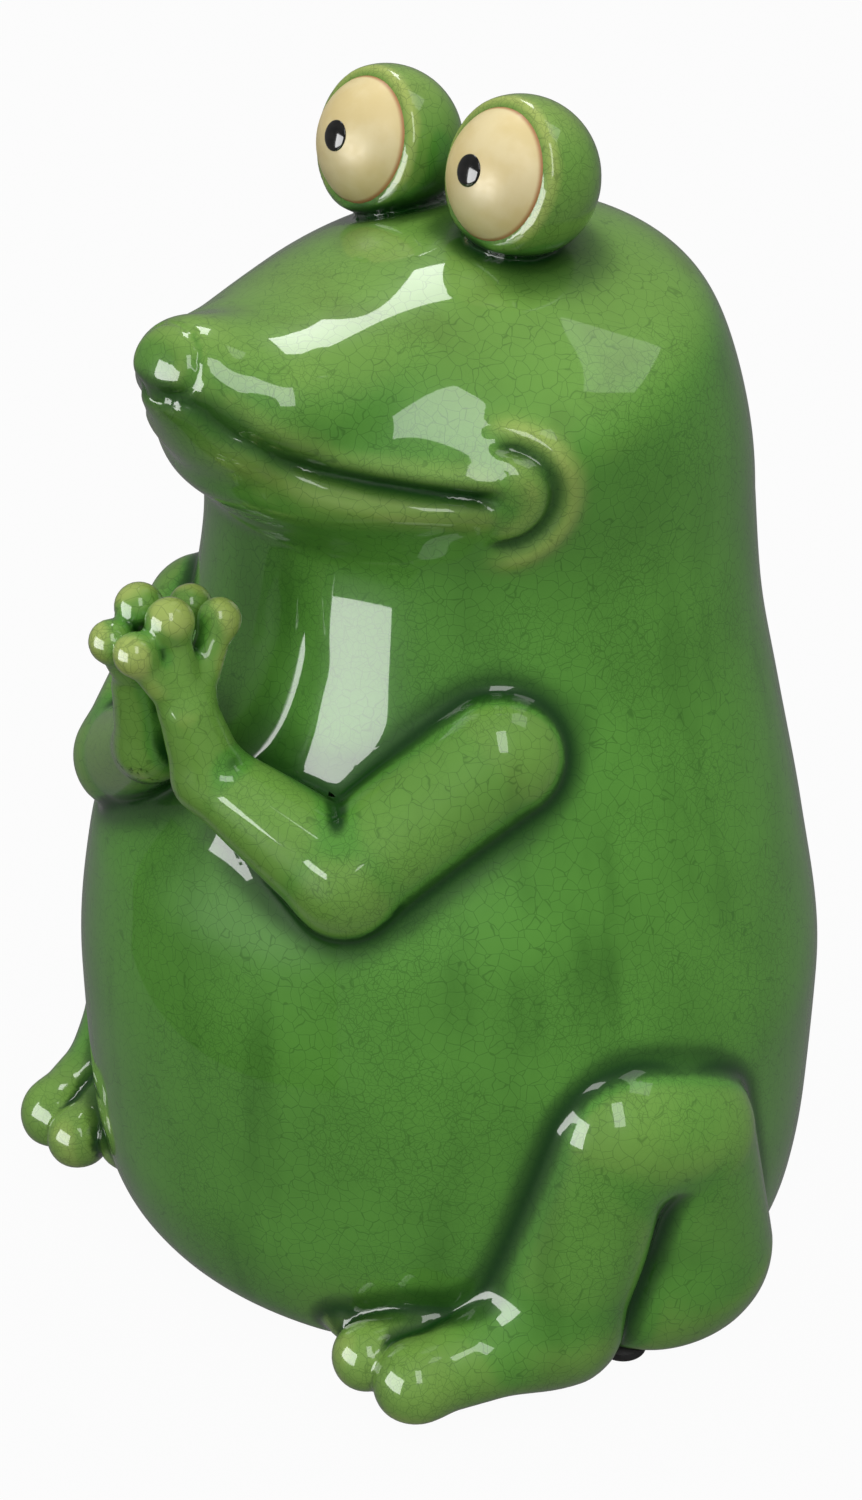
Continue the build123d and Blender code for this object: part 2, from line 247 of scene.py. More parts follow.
# Eyes: a pale dome in a fat glazed hood
eyeLow, eyeHigh = (np.array(corner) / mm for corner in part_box("left_eyelid"))
eyeShape = {
    "centre": np.array([(eyeLow[0] + eyeHigh[0]) / 2, 2.59, 223.87]),
    "hoodRadius": (eyeHigh[0] - eyeLow[0]) / 2 - 0.03,
    "ballRadius": 13.4,
    "openingAngle": 64.0,
    "gazeLift": 15.0,
    "rimRounding": 1.4,
    "ballSink": 1.5, "ballDepth": 4.0, "ballInset": 2.0,
    "pupilRadius": 2.9, "pupilRise": 0.5, "pupilSink": 0.4, "pupilSkirt": 0.3,
}
gaze = np.array([0, -math.cos(math.radians(eyeShape["gazeLift"])), math.sin(math.radians(eyeShape["gazeLift"]))])
rimPlane = eyeShape["hoodRadius"] * math.cos(math.radians(eyeShape["openingAngle"]))


def hoodField(q):
    d = ballField(q, eyeShape["centre"], eyeShape["hoodRadius"])
    return softMax(d, (q - eyeShape["centre"]) @ gaze - rimPlane, eyeShape["rimRounding"])


# Arms and hands
armShape = {
    "shoulder": (43.5, -25.7, 126.0), "shoulderRadius": 13.2,
    "elbow": (33.5, -53.8, 106.6), "elbowRadius": 11.5,
    "wrist": (9.0, -66.0, 122.5), "wristRadius": 7.0,
    "blend": 1.6,
}
handShape = {
    "palmEnd": (7.2, -69.0, 136.0), "palmRadius": 5.5,
    "fingerRoot": 3.8, "fingerRadius": 3.0, "tipBlend": 1.5, "blend": 2.0,
    "tips": [((3.7, -77.4, 149.0), 4.15), ((4.6, -70.2, 153.5), 4.6), ((4.3, -58.9, 150.6), 4.1)],
}


def armForms(q):
    s = armShape
    upper = limbField(q, s["shoulder"], s["elbow"], s["shoulderRadius"], s["elbowRadius"])
    lower = limbField(q, s["elbow"], s["wrist"], s["elbowRadius"], s["wristRadius"])
    return [upper, lower]


def handForms(q):
    s = handShape
    forms = [limbField(q, armShape["wrist"], s["palmEnd"], armShape["wristRadius"], s["palmRadius"])]
    for tip, radius in s["tips"]:
        finger = limbField(q, s["palmEnd"], tip, s["fingerRoot"], s["fingerRadius"])
        forms.append(softMin(finger, ballField(q, tip, radius), s["tipBlend"]))
    return forms


# Legs and feet
legShape = {
    "thighTop": (72.4, -5.9, 47.2), "thighTopRadius": 17.5,
    "thighSeat": (70.05, 1.0, 15.5), "thighSeatRadius": 20.05,
    "haunch": (70.3, -8.7, 12.0), "haunchRadius": 16.0, "haunchBlend": 7.0,
    "shinTop": (70.4, -19.7, 53.8), "shinTopRadius": 16.0,
    "ankle": (65.0, -30.9, 14.7), "ankleRadius": 16.2,
    "foldBlend": 1.5, "kneeBlend": 9.0, "kneeHeights": (36.0, 54.0),
    "foldDepth": 1.0, "foldWidth": 2.4,
}
footShape = {
    "heel": (68.4, -31.3, 11.0), "heelRadius": 11.5,
    "instep": (54.5, -41.7, 12.5), "instepRadius": 8.0,
    "outerTip": (60.3, -61.5, 8.4), "outerRadius": 8.2, "outerNeck": 7.6,
    "middleTip": (48.8, -64.0, 9.0), "middleRadius": 6.8, "middleNeck": 6.0,
    "innerTip": (38.6, -58.2, 10.3), "innerRadius": 5.9, "innerNeck": 5.4,
    "tipBlend": 2.0, "blend": 1.4,
}


def legForms(q):
    s = legShape
    thigh = limbField(q, s["thighTop"], s["thighSeat"], s["thighTopRadius"], s["thighSeatRadius"])
    haunch = ballField(q, s["haunch"], s["haunchRadius"])
    shin = limbField(q, s["shinTop"], s["ankle"], s["shinTopRadius"], s["ankleRadius"])
    return [softMin(thigh, haunch, s["haunchBlend"]), shin]


def footForms(q):
    s = footShape
    forms = []
    for toe, root in (("outer", "heel"), ("middle", "instep"), ("inner", "instep")):
        tip = s[toe + "Tip"]
        bone = limbField(q, s[root], tip, s[root + "Radius"], s[toe + "Neck"])
        forms.append(softMin(bone, ballField(q, tip, s[toe + "Radius"]), s["tipBlend"]))
    return forms


def mergeForms(forms, blend):
    d = forms[0]
    for form in forms[1:]:
        d = softMin(d, form, blend)
    return d


def onRim(d, q):
    return softMax(d, bodyShape["rimHeight"] - q[:, 2], bodyShape["rimRounding"])


def armField(q):
    return mergeForms(armForms(q), armShape["blend"])


def handField(q):
    return mergeForms(handForms(q), handShape["blend"])


def legField(q):
    # the knee is smooth, and the fold below it is a cut line
    s = legShape
    thigh, shin = legForms(q)
    knee = smoothStep(*s["kneeHeights"], q[:, 2])
    fold = s["foldDepth"] * hump(np.hypot(thigh, shin), s["foldWidth"]) * (1 - knee)
    return onRim(softMin(thigh, shin, s["foldBlend"] + s["kneeBlend"] * knee) + fold, q)


def footField(q):
    return onRim(mergeForms(footForms(q), footShape["blend"]), q)


# The whole glazed skin, with slip smoothed into every joint
joinBlend = {"eyelid": 1.6, "arm": 3.0, "hand": 2.0, "leg": 3.0}
joinGroove = {"eyelid": 0.5, "arm": 0.3, "hand": 0.0, "leg": 0.3}
ankleBlend = 6.0
grooveWidth = 2.2
limbMargin = 14.0  # how far from its box a limb is still looked at
limbFields = {"eyelid": hoodField, "arm": armField, "hand": handField, "leg": legField, "foot": footField}
limbBoxes = {}
for limb in limbFields:
    low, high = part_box("left_" + limb)
    limbBoxes[limb] = (np.array(low) / mm - limbMargin, np.array(high) / mm + limbMargin)


def leftSide(p):
    return np.column_stack([np.abs(p[:, 0]), p[:, 1:]])


def partFields(p):
    q = leftSide(p)
    fields = {"body": bodyField(p) + smileMarks(q)[0]}
    for limb, field in limbFields.items():
        low, high = limbBoxes[limb]
        close = np.all((q > low) & (q < high), axis=1)
        d = np.full(len(q), limbMargin)
        d[close] = field(q[close])
        fields[limb] = d
    return fields


def skinField(p):
    fields = partFields(p)
    d = fields["body"]
    fields["leg"] = softMin(fields["leg"], fields["foot"], ankleBlend)
    for limb, blend in joinBlend.items():
        groove = joinGroove[limb] * hump(np.hypot(d, fields[limb]), grooveWidth)
        d = softMin(d, fields[limb], blend) + groove
    hole = np.maximum(np.hypot(p[:, 0], p[:, 1]) - bodyShape["pourHole"], p[:, 2] - bodyShape["pourDepth"])
    return softMax(d, -hole, bodyShape["pourRounding"])


def inChunks(field, p, size=400000):
    return np.concatenate([field(p[i:i + size]) for i in range(0, len(p), size)])


tetrahedron = np.array([(1, 1, 1), (1, -1, -1), (-1, 1, -1), (-1, -1, 1)])


def skinSlope(p, step=0.3):
    corners = [inChunks(skinField, p + step * corner) for corner in tetrahedron]
    return sum(value[:, None] * corner for value, corner in zip(corners, tetrahedron)) / (4 * step)


# Turns the field into a closed quad mesh, looking only near the surface
skinMesh = {"cell": 0.95, "keepShare": 0.47, "settleRounds": 2, "blockReach": 1.25}


def nearBlocks(field, blocks, size, origin):
    centres = origin + (blocks + 0.5) * size
    return blocks[np.abs(inChunks(field, centres)) < size * skinMesh["blockReach"]]


def splitBlocks(blocks, parts):
    inner = np.stack(np.meshgrid(*[np.arange(parts)] * 3, indexing="ij"), -1).reshape(-1, 3)
    return (blocks[:, None] * parts + inner[None]).reshape(-1, 3)


def meshField(field, low, high, cell):
    count = np.ceil((high - low) / (cell * 16)).astype(int)
    blocks = np.stack(np.meshgrid(*[np.arange(n) for n in count], indexing="ij"), -1).reshape(-1, 3)
    blocks = nearBlocks(field, blocks, cell * 16, low)
    blocks = nearBlocks(field, splitBlocks(blocks, 4), cell * 4, low)
    corner = np.stack(np.meshgrid(*[np.arange(5)] * 3, indexing="ij"), -1).reshape(-1, 3)
    places = (blocks[:, None] * 4 + corner[None]).reshape(-1, 3)
    wide = 4096
    keys = (places[:, 0] * wide + places[:, 1]) * wide + places[:, 2]
    keys, first, back = np.unique(keys, return_index=True, return_inverse=True)
    values = inChunks(field, low + places[first] * cell)[back].reshape(-1, 5, 5, 5)
    offsets = np.array([(i, j, k) for i in (0, 1) for j in (0, 1) for k in (0, 1)])
    eight = np.stack([values[:, i:i + 4, j:j + 4, k:k + 4] for i, j, k in offsets], -1)
    inside = eight < 0
    active = inside.any(-1) & ~inside.all(-1)
    block, i, j, k = np.nonzero(active)
    cells = blocks[block] * 4 + np.stack([i, j, k], -1)
    eight = eight[active]
    total = np.zeros((len(cells), 3))
    crossings = np.zeros(len(cells))
    for a in range(8):
        for b in range(a + 1, 8):
            if np.abs(offsets[a] - offsets[b]).sum() != 1:
                continue
            cut = (eight[:, a] < 0) != (eight[:, b] < 0)
            t = eight[cut, a] / (eight[cut, a] - eight[cut, b])
            total[cut] += offsets[a] + t[:, None] * (offsets[b] - offsets[a])
            crossings[cut] += 1
    points = low + (cells + total / crossings[:, None]) * cell
    cellKeys = (cells[:, 0] * wide + cells[:, 1]) * wide + cells[:, 2]
    order = np.argsort(cellKeys)
    sortedKeys = cellKeys[order]
    quads = []
    for axis, far in ((0, 4), (1, 2), (2, 1)):
        cut = (eight[:, 0] < 0) != (eight[:, far] < 0)
        base = cells[cut]
        one, two = np.eye(3, dtype=int)[(axis + 1) % 3], np.eye(3, dtype=int)[(axis + 2) % 3]
        ring = []
        for shift in (0 * one, -one, -one - two, -two):
            c = base + shift
            key = (c[:, 0] * wide + c[:, 1]) * wide + c[:, 2]
            ring.append(order[np.searchsorted(sortedKeys, key)])
        ring = np.stack(ring, -1)
        outward = eight[cut, 0] < 0
        ring[~outward] = ring[~outward][:, ::-1]
        quads.append(ring)
    return points, np.concatenate(quads)


def thinMesh(points, quads, share):
    mesh = bpy.data.meshes.new("skinDraft")
    mesh.from_pydata(points.tolist(), [], quads.tolist())
    draft = bpy.data.objects.new("skinDraft", mesh)
    bpy.context.collection.objects.link(draft)
    thin = draft.modifiers.new("thin", "DECIMATE")
    thin.ratio = share
    evaluated = draft.evaluated_get(bpy.context.evaluated_depsgraph_get())
    result = bpy.data.meshes.new_from_object(evaluated)
    bpy.data.objects.remove(draft)
    result.calc_loop_triangles()
    points = np.empty(len(result.vertices) * 3)
    result.vertices.foreach_get("co", points)
    triangles = np.empty(len(result.loop_triangles) * 3, dtype=int)
    result.loop_triangles.foreach_get("vertices", triangles)
    bpy.data.meshes.remove(result)
    return points.reshape(-1, 3), triangles.reshape(-1, 3)


def settle(points):
    for _ in range(skinMesh["settleRounds"]):
        slope = skinSlope(points)
        d = inChunks(skinField, points)
        points = points - np.clip(d, -1, 1)[:, None] * slope / np.maximum((slope ** 2).sum(1), 0.2)[:, None]
    slope = skinSlope(points)
    return points, slope / np.maximum(np.linalg.norm(slope, axis=1), 0.001)[:, None]


def bendOf(points, reach):
    # mean curvature over a short reach: above zero on ridges, below in creases
    around = sum(inChunks(skinField, points + reach * axis) for axis in (*np.eye(3), *-np.eye(3)))
    return around / 6 / reach


def besideOf(points):
    # distance to the second nearest form of clay, which is small where two of them meet,
    # and a mask of where the body is the nearest
    q = leftSide(points)
    thigh, shin = legForms(q)
    outerToe, middleToe, innerToe = footForms(q)
    forms = [bodyField(points), hoodField(q), *armForms(q), *handForms(q), *handForms(q * (-1, 1, 1))]
    forms = np.stack(forms + [thigh, np.minimum(shin, outerToe), middleToe, innerToe])
    return np.partition(forms, 1, axis=0)[1], forms.argmin(axis=0) == 0


margin = 4.0
low = np.array(cadBox[0]) / mm - margin
high = np.array(cadBox[1]) / mm + margin
points, quads = meshField(skinField, low, high, skinMesh["cell"])
print("skin draft:", len(points), "points")
points, triangles = thinMesh(points, quads, skinMesh["keepShare"])
points, normals = settle(points)

# Where the glaze runs thin on ridges, and pools dark in creases, with painted shade added in creases, hollows and
# near other forms, and painted light on the top of the head
glazeRule = {
    "reaches": (1.6, 5.0, 9.0),  # over which the bend of the skin is read
    "creaseShadeWidth": 3.4, "creaseShadeBend": (0.01, -0.04),
    "haloShadeShare": 0.75, "haloShadeBend": (0.0, -0.13), "haloShadeWidth": 12.0,
    "hollowShadeShare": 0.8, "hollowShadeBend": (-0.04, -0.2),
    "fineShare": 0.3, "fineBend": (0.07, 0.19), "ridgeShare": 0.7, "ridgeBend": (0.13, 0.32),
    "limbShare": 0.16, "limbBend": (0.03, 0.09), "bodyShare": 0.4,
    "crownLightShare": 0.18, "crownLightSlope": (0.35, 0.95), "crownLightHeight": (150, 190),
    "toeShare": 0.4, "toeWidth": 11.0, "thinnest": 0.9,
}
g = glazeRule
fineBend, wideBend, broadBend = (bendOf(points, reach) for reach in g["reaches"])
smilePoolShade, smileThin = smileMarks(leftSide(points))[1:]
beside, onBody = besideOf(points)
# painted shade: creases where two forms meet, broad bands near other forms and hollows are darkened, over the glaze
# pooled there
creaseShade = hump(beside, g["creaseShadeWidth"]) * smoothStep(*g["creaseShadeBend"], wideBend)
haloShade = g["haloShadeShare"] * smoothStep(*g["haloShadeBend"], broadBend) * hump(beside, g["haloShadeWidth"])
hollowShade = g["hollowShadeShare"] * smoothStep(*g["hollowShadeBend"], wideBend)
poolAndShade = np.maximum.reduce([creaseShade, haloShade, smilePoolShade, hollowShade])
ridge = np.maximum(g["fineShare"] * smoothStep(*g["fineBend"], fineBend),
                   g["ridgeShare"] * smoothStep(*g["ridgeBend"], wideBend))
limbTint = g["limbShare"] * smoothStep(*g["limbBend"], wideBend)
# painted light from above: the top of the head is lighter where it faces up
crownTopLight = (g["crownLightShare"] * smoothStep(*g["crownLightSlope"], normals[:, 2])
             * smoothStep(*g["crownLightHeight"], points[:, 2]))
toeTips = [footShape[toe + "Tip"] for toe in ("outer", "middle", "inner")]
nearTips = [hump(ballField(leftSide(points), tip, 0.0), g["toeWidth"]) for tip in toeTips]
toeTint = g["toeShare"] * np.maximum.reduce(nearTips)
worn = np.maximum.reduce([ridge, limbTint, toeTint])
thin = np.where(onBody, g["bodyShare"], 1.0) * worn + crownTopLight + smileThin
thin = np.clip(thin, 0, g["thinnest"])
print("skin:", len(triangles), "triangles")

# Each face of the skin belongs to the piece of clay that lies nearest
centres = points[triangles].mean(axis=1)
fields = partFields(centres)
names = list(fields)
owner = np.argmin(np.stack([fields[name] for name in names]), axis=0)


def closeHoles(faces, corners):
    # a sunk fan over each open edge, hidden under the neighbouring piece
    edges = np.concatenate([faces[:, [0, 1]], faces[:, [1, 2]], faces[:, [2, 0]]])
    uses = Counter(map(tuple, edges.tolist()))
    following = {}
    for (a, b), count in uses.items():
        for _ in range(count - uses.get((b, a), 0)):
            following.setdefault(b, []).append(a)
    extraPoints, extraFaces = [], []
    while following:
        start = next(iter(following))
        loop = [start]
        while True:
            here = loop[-1]
            step = following[here].pop()
            if not following[here]:
                del following[here]
            if step == start:
                break
            loop.append(step)
        middle = len(corners) + len(extraPoints)
        extraPoints.append(corners[loop].mean(axis=0))
        extraFaces += [(loop[i], loop[(i + 1) % len(loop)], middle) for i in range(len(loop))]
    return np.array(extraPoints).reshape(-1, 3), np.array(extraFaces, dtype=int).reshape(-1, 3)


def makePiece(name, node, chosen):
    used, faces = np.unique(triangles[chosen], return_inverse=True)
    faces = faces.reshape(-1, 3)
    corners = points[used]
    extraPoints, extraFaces = closeHoles(faces, corners)
    allPoints = np.concatenate([corners, extraPoints]) * mm
    allFaces = np.concatenate([faces, extraFaces])
    mesh = bpy.data.meshes.new(name)
    mesh.from_pydata(allPoints.tolist(), [], allFaces.tolist())
    spare = len(extraPoints)
    # the first attribute darkens pooled glaze with painted shade; the second lightens thin glaze and paints light on
    # the head's top
    for label, values in (("poolAndShade", poolAndShade), ("thin", thin)):
        attribute = mesh.attributes.new(label, "FLOAT", "POINT")
        attribute.data.foreach_set("value", np.concatenate([values[used], np.zeros(spare)]).astype(np.float32))
    mesh.shade_smooth()
    shading = np.concatenate([normals[used], np.tile((0.0, 0.0, 1.0), (spare, 1))])
    mesh.normals_split_custom_set_from_vertices(shading.tolist())
    piece = bpy.data.objects.new(name, mesh)
    bpy.context.collection.objects.link(piece)
    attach(piece, "root")
    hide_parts(node)
    return piece


glazedPieces = [makePiece("body", "body_shell", owner == names.index("body"))]
for limb in limbFields:
    for side, sign in sides.items():
        chosen = (owner == names.index(limb)) & (centres[:, 0] * sign > 0)
        glazedPieces.append(makePiece(side + limb.capitalize(), side + "_" + limb, chosen))
print("glazed pieces:", [(piece.name, len(piece.data.polygons)) for piece in glazedPieces])


# Turned pieces: a profile of (radius, height) pairs spun round an axis
def spinPiece(name, profile, centre, axis, turns=64):
    axis = np.asarray(axis, dtype=float)
    across = np.cross(axis, (1.0, 0.0, 0.0) if abs(axis[0]) < 0.9 else (0.0, 1.0, 0.0))
    across /= np.linalg.norm(across)
    beside = np.cross(axis, across)
    angle = np.arange(turns) * 2 * math.pi / turns
    ring = np.cos(angle)[:, None] * across + np.sin(angle)[:, None] * beside
    points, faces = [], []
    for radius, height in profile[1:-1]:
        points.append(np.asarray(centre) + radius * ring + height * axis)
    points = np.concatenate(points)
    rows = len(profile) - 2
    for r in range(rows - 1):
        for t in range(turns):
            n = (t + 1) % turns
            faces.append((r * turns + t, r * turns + n, (r + 1) * turns + n, (r + 1) * turns + t))
    ends = [np.asarray(centre) + profile[0][1] * axis, np.asarray(centre) + profile[-1][1] * axis]
    points = np.concatenate([points, ends])
    bottom, top = len(points) - 2, len(points) - 1
    for t in range(turns):
        n = (t + 1) % turns
        faces.append((n, t, bottom))
        faces.append(((rows - 1) * turns + t, (rows - 1) * turns + n, top))
    mesh = bpy.data.meshes.new(name)
    mesh.from_pydata((points * mm).tolist(), [], faces)
    mesh.shade_smooth()
    piece = bpy.data.objects.new(name, mesh)
    bpy.context.collection.objects.link(piece)
    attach(piece, "root")
    return piece


eyeballs, pupils = [], []
for side, sign in sides.items():
    centre = eyeShape["centre"] * (sign, 1, 1)
    ballRadius = eyeShape["ballRadius"]
    edge = math.acos((rimPlane - eyeShape["ballSink"]) / ballRadius)
    seat = rimPlane - eyeShape["ballDepth"]
    profile = [(0.0, seat), (ballRadius * math.sin(edge) - eyeShape["ballInset"], seat)]
    profile += [(ballRadius * math.sin(a), ballRadius * math.cos(a)) for a in np.linspace(edge, 0, 26)]
    eyeball = spinPiece(side + "Eyeball", profile, centre, gaze)
    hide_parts(side + "_eyeball")
    eyeballs.append(eyeball)
    pupilRadius, rise = eyeShape["pupilRadius"], eyeShape["pupilRise"]
    dome = ballRadius - pupilRadius ** 2 / (2 * ballRadius)
    profile = [(0.0, dome - eyeShape["pupilSink"]), (pupilRadius, dome - eyeShape["pupilSkirt"])]
    profile += [(pupilRadius * math.cos(a), dome + (ballRadius - dome + rise) * math.sin(a))
                for a in np.linspace(0, math.pi / 2, 12)]
    pupil = spinPiece(side + "Pupil", profile, centre, gaze, turns=40)
    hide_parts(side + "_pupil")
    pupils.append(pupil)

print("eyes made")


# Finishes
def newMaterial(name):
    material = bpy.data.materials.new(name)
    material.use_nodes = True
    tree = material.node_tree
    return material, tree.nodes, tree.links, tree.nodes["Principled BSDF"]


def addNode(nodes, kind, **settings):
    node = nodes.new(kind)
    for key, value in settings.items():
        setattr(node, key, value)
    return node


def mapRange(nodes, links, source, fromLow, fromHigh, toLow=0.0, toHigh=1.0):
    node = addNode(nodes, "ShaderNodeMapRange", interpolation_type="SMOOTHSTEP")
    links.new(source, node.inputs["Value"])
    for key, value in (("From Min", fromLow), ("From Max", fromHigh), ("To Min", toLow), ("To Max", toHigh)):
        node.inputs[key].default_value = value
    return node.outputs["Result"]


def mixColour(nodes, links, factor, first, second, blend="MIX"):
    node = addNode(nodes, "ShaderNodeMix", data_type="RGBA", blend_type=blend)
    for socket, value in ((node.inputs[0], factor), (node.inputs[6], first), (node.inputs[7], second)):
        if isinstance(value, bpy.types.NodeSocket):
            links.new(value, socket)
        else:
            socket.default_value = value if isinstance(value, float) else (*value, 1.0)
    return node.outputs[2]


def combine(nodes, links, operation, first, second):
    node = addNode(nodes, "ShaderNodeMath", operation=operation)
    for socket, value in zip(node.inputs, (first, second)):
        if isinstance(value, bpy.types.NodeSocket):
            links.new(value, socket)
        else:
            socket.default_value = value
    return node.outputs[0]


def noiseAt(nodes, links, source, scale, detail=3.0, stretch=None):
    if stretch:
        mapping = addNode(nodes, "ShaderNodeMapping")
        links.new(source, mapping.inputs["Vector"])
        mapping.inputs["Scale"].default_value = stretch
        source = mapping.outputs["Vector"]
    noise = addNode(nodes, "ShaderNodeTexNoise")
    links.new(source, noise.inputs["Vector"])
    noise.inputs["Scale"].default_value = scale
    noise.inputs["Detail"].default_value = detail
    return noise.outputs["Fac"]


glazeFinish = {
    "green": (0.088, 0.262, 0.036), "deepGreen": (0.050, 0.165, 0.020),
    # the darkest green paints shade in creases and hollows, as well as pooled glaze and crack lines
    "poolShadeAndCrackGreen": (0.004, 0.036, 0.004), "thin": (0.39, 0.45, 0.12),
    "bare": (0.36, 0.22, 0.10),
    "crackSize": 0.0013, "crackShade": 0.36,
    "cloudScale": 38.0, "cloudTone": (0.3, 0.75, 0.0, 0.45),
    "dripStretch": (70.0, 70.0, 9.0), "dripTone": (0.48, 0.78, 0.0, 0.75),
    "bareHeights": (0.0030, 0.0022), "crackBump": 0.05, "crackDepth": 0.0002,
    "roughness": 0.30, "specular": 0.1, "coatRoughness": 0.03,
}


crazingShape = {
    "wobbleScale": 160.0, "wobble": 0.003, "patchScale": 45.0, "patchEdge": (0.4, 0.6),
    "layers": ((1.0, 0.055), (0.52, 0.042)),  # scale and crack width of the fine and the coarse net
}


def crazingGroup():
    # fine crackle: returns a mask that is 1 on a crack
    group = bpy.data.node_groups.new("crazing", "ShaderNodeTree")
    group.interface.new_socket("Vector", in_out="INPUT", socket_type="NodeSocketVector")
    size = group.interface.new_socket("Size", in_out="INPUT", socket_type="NodeSocketFloat")
    size.default_value = 0.0035
    group.interface.new_socket("Crack", in_out="OUTPUT", socket_type="NodeSocketFloat")
    nodes, links = group.nodes, group.links
    entry, leave = nodes.new("NodeGroupInput"), nodes.new("NodeGroupOutput")
    perMetre = combine(nodes, links, "DIVIDE", 1.0, entry.outputs["Size"])
    wobble = addNode(nodes, "ShaderNodeTexNoise")
    wobble.inputs["Scale"].default_value = crazingShape["wobbleScale"]
    links.new(entry.outputs["Vector"], wobble.inputs["Vector"])
    shift = addNode(nodes, "ShaderNodeVectorMath", operation="MULTIPLY_ADD")
    links.new(wobble.outputs["Color"], shift.inputs[0])
    shift.inputs[1].default_value = [crazingShape["wobble"]] * 3
    links.new(entry.outputs["Vector"], shift.inputs[2])
    masks = []
    for factor, width in crazingShape["layers"]:
        scale = combine(nodes, links, "MULTIPLY", perMetre, factor)
        cells = addNode(nodes, "ShaderNodeTexVoronoi", feature="DISTANCE_TO_EDGE")
        links.new(shift.outputs[0], cells.inputs["Vector"])
        links.new(scale, cells.inputs["Scale"])
        masks.append(mapRange(nodes, links, cells.outputs["Distance"], 0.0, width, 1.0, 0.0))
    presence = noiseAt(nodes, links, entry.outputs["Vector"], crazingShape["patchScale"])
    patches = mapRange(nodes, links, presence, *crazingShape["patchEdge"])
    fine = combine(nodes, links, "MULTIPLY", masks[0], patches)
    crack = combine(nodes, links, "MAXIMUM", fine, masks[1])
    links.new(crack, leave.inputs["Crack"])
    return group


crazing = crazingGroup()


def glazeMaterial():
    material, nodes, links, shader = newMaterial("greenGlaze")
    place = addNode(nodes, "ShaderNodeTexCoord").outputs["Object"]
    thin = addNode(nodes, "ShaderNodeAttribute", attribute_name="thin").outputs["Fac"]
    poolAndShade = addNode(nodes, "ShaderNodeAttribute", attribute_name="poolAndShade").outputs["Fac"]
    cloud = noiseAt(nodes, links, place, glazeFinish["cloudScale"], 4.0)
    drips = noiseAt(nodes, links, place, 1.0, 3.0, stretch=glazeFinish["dripStretch"])
    tone = combine(nodes, links, "ADD", mapRange(nodes, links, cloud, *glazeFinish["cloudTone"]),
                   mapRange(nodes, links, drips, *glazeFinish["dripTone"]))
    colour = mixColour(nodes, links, tone, glazeFinish["green"], glazeFinish["deepGreen"])
    # thin glaze on ridges, plus painted light on the top of the head
    colour = mixColour(nodes, links, thin, colour, glazeFinish["thin"])
    # pooled glaze, with painted shade in creases, hollows and near other forms
    colour = mixColour(nodes, links, poolAndShade, colour, glazeFinish["poolShadeAndCrackGreen"])
    cracks = addNode(nodes, "ShaderNodeGroup", node_tree=crazing)
    links.new(place, cracks.inputs["Vector"])
    cracks.inputs["Size"].default_value = glazeFinish["crackSize"]
    lined = combine(nodes, links, "MULTIPLY", cracks.outputs["Crack"], glazeFinish["crackShade"])
    colour = mixColour(nodes, links, lined, colour, glazeFinish["poolShadeAndCrackGreen"])
    height = addNode(nodes, "ShaderNodeSeparateXYZ")
    links.new(place, height.inputs[0])
    rim = mapRange(nodes, links, height.outputs["Z"], *glazeFinish["bareHeights"])
    colour = mixColour(nodes, links, rim, colour, glazeFinish["bare"])
    links.new(colour, shader.inputs["Base Color"])
    bump = addNode(nodes, "ShaderNodeBump", invert=True)
    bump.inputs["Strength"].default_value = glazeFinish["crackBump"]
    bump.inputs["Distance"].default_value = glazeFinish["crackDepth"]
    links.new(cracks.outputs["Crack"], bump.inputs["Height"])
    links.new(bump.outputs[0], shader.inputs["Normal"])
    shader.inputs["Roughness"].default_value = glazeFinish["roughness"]
    shader.inputs["Specular IOR Level"].default_value = glazeFinish["specular"]
    links.new(combine(nodes, links, "SUBTRACT", 1.0, rim), shader.inputs["Coat Weight"])
    shader.inputs["Coat Roughness"].default_value = glazeFinish["coatRoughness"]
    return material


creamFinish = {
    "cream": (0.62, 0.495, 0.225), "pale": (0.67, 0.56, 0.30), "edge": (0.36, 0.13, 0.035),
    "edgeHeights": (0.9, 0.1), "edgeShare": 0.9, "cloudScale": 140.0, "grainScale": 900.0,
    "roughness": (0.36, 0.5),
}


def creamMaterial(name, centre):
    material, nodes, links, shader = newMaterial(name)
    place = addNode(nodes, "ShaderNodeTexCoord").outputs["Object"]
    offset = addNode(nodes, "ShaderNodeVectorMath", operation="SUBTRACT")
    links.new(place, offset.inputs[0])
    offset.inputs[1].default_value = tuple(centre * mm)
    forward = addNode(nodes, "ShaderNodeVectorMath", operation="DOT_PRODUCT")
    links.new(offset.outputs[0], forward.inputs[0])
    forward.inputs[1].default_value = tuple(gaze)
    cloud = mapRange(nodes, links, noiseAt(nodes, links, place, creamFinish["cloudScale"], 4.0), 0.35, 0.7)
    colour = mixColour(nodes, links, cloud, creamFinish["cream"], creamFinish["pale"])
    outer, inner = ((rimPlane + height) * mm for height in creamFinish["edgeHeights"])
    edge = mapRange(nodes, links, forward.outputs["Value"], outer, inner, 0.0, creamFinish["edgeShare"])
    colour = mixColour(nodes, links, edge, colour, creamFinish["edge"])
    links.new(colour, shader.inputs["Base Color"])
    grain = noiseAt(nodes, links, place, creamFinish["grainScale"], 2.0)
    links.new(mapRange(nodes, links, grain, 0.3, 0.7, *creamFinish["roughness"]), shader.inputs["Roughness"])
    return material


enamelFinish = {
    "dark": (0.004, 0.004, 0.004), "worn": (0.012, 0.011, 0.010), "brushScale": 700.0,
    "roughness": 0.12, "coat": 0.6,
}


